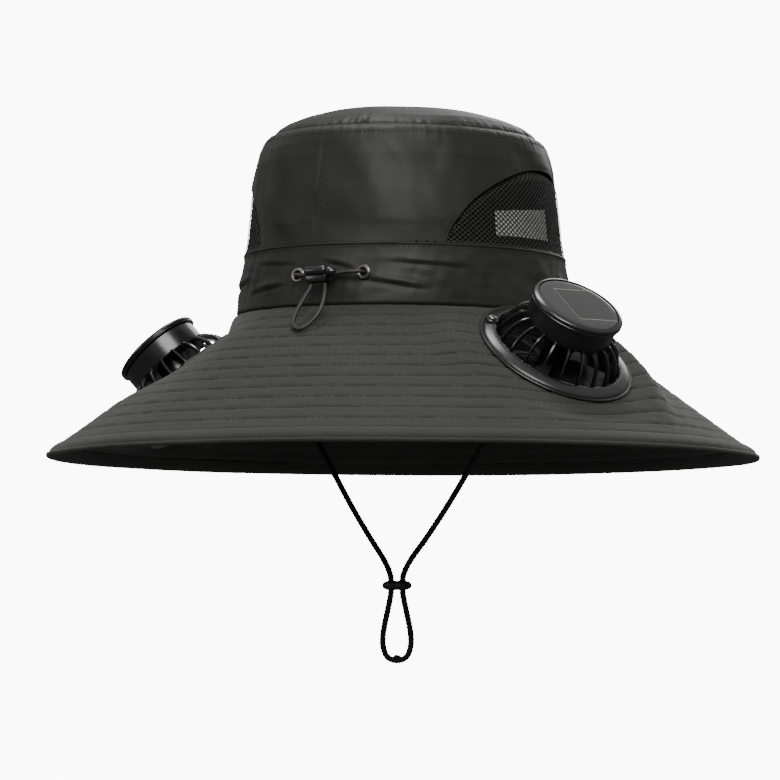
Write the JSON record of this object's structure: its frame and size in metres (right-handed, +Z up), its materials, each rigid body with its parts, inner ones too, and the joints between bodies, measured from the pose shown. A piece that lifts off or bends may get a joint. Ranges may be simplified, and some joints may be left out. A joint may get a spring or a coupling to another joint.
{
  "type": "sun hat with solar fans",
  "caption": "Wide-brimmed cloth sun hat with solar-powered fans in the brim, net vents, a rear drawcord with a press lock, and a chin cord with a slider.",
  "frame": {"origin": "centre of the head opening, in the plane where the crown is sewn to the brim", "axes": "+Z up through the crown, -Y to the rear where the drawcord is, +Y to the wearer's face, +X to the side with the reflective patch"},
  "size_m": [0.3738, 0.4118, 0.3002],
  "materials": {
    "crown_cloth": "satin woven polyester",
    "brim_cloth": "matt woven polyester, stitched in rings",
    "net": "open polyester net",
    "reflective_patch": "light grey retroreflective cloth",
    "moulding": "satin black",
    "gloss_moulding": "gloss black",
    "solar_cell": "clear resin over a dark solar cell",
    "dark_nickel": "dark nickel plate",
    "cord": "braided polyester"
  },
  "bodies": {
    "hat": {"crown_tip": "crown_cloth", "crown_side": "crown_cloth", "hat_band": "crown_cloth", "drawcord_channel": "crown_cloth", "net_left": "net", "net_right": "net", "net_patch": "reflective_patch", "brim": "brim_cloth", "brim_hem": "brim_cloth", "eyelet_left": "dark_nickel", "eyelet_right": "dark_nickel", "drawcord": "cord", "cord_lock_body": "gloss_moulding", "chin_cord_left": "cord", "chin_cord_right": "cord", "chin_slider": "cord", "chin_knot": "cord", "chin_clamp_left": "moulding", "chin_clamp_right": "moulding", "fan_flange_left": "moulding", "fan_screw_left": "dark_nickel", "fan_housing_left": "gloss_moulding", "cap_rim_left": "gloss_moulding", "solar_panel_left": "solar_cell", "fan_outlet_left": "moulding", "fan_flange_right": "moulding", "fan_screw_right": "dark_nickel", "fan_housing_right": "gloss_moulding", "cap_rim_right": "gloss_moulding", "solar_panel_right": "solar_cell", "fan_outlet_right": "moulding"},
    "impeller_left": {"impeller_left": "moulding"},
    "impeller_right": {"impeller_right": "moulding"},
    "lock_button": {"cord_lock_button": "gloss_moulding"}
  },
  "joints": [
    {"name": "impeller_left_spin", "type": "hinge", "parent": "hat", "child": "impeller_left", "pos_m": [-0.12906, -0.00945, -0.0336], "axis": [-0.6466, -0.1537, 0.7472], "continuous": true},
    {"name": "impeller_right_spin", "type": "hinge", "parent": "hat", "child": "impeller_right", "pos_m": [0.11387, -0.05004, -0.02578], "axis": [0.561, -0.2712, 0.7821], "continuous": true},
    {"name": "lock_button_press", "type": "slide", "parent": "hat", "child": "lock_button", "axis": [-1, 0, 0], "range_m": [0, 0.003], "stiffness_N_per_m": 1500, "springref_m": -0.003}
  ]
}
